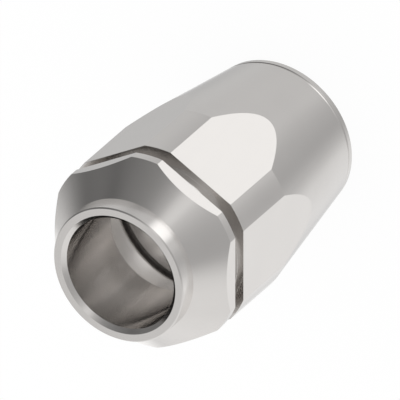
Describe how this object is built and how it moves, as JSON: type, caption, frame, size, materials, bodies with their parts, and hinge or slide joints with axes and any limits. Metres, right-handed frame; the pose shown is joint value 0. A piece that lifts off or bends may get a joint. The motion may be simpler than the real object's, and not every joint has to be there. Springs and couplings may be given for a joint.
{
  "type": "reusable hose socket",
  "caption": "Steel socket for a reusable hose fitting: hexagonal body with a turned groove, a small flared collar, a tapered tail and a stepped bore.",
  "frame": {"origin": "centre of the hose end's face, which the socket stands on", "axes": "+Z along the bore from the hose end to the collar, +X square to one wrench flat"},
  "size_m": [0.032, 0.0344, 0.052],
  "materials": {
    "steel": "fine turned and polished, satin"
  },
  "bodies": {
    "root": {"socket": "steel"}
  },
  "joints": []
}
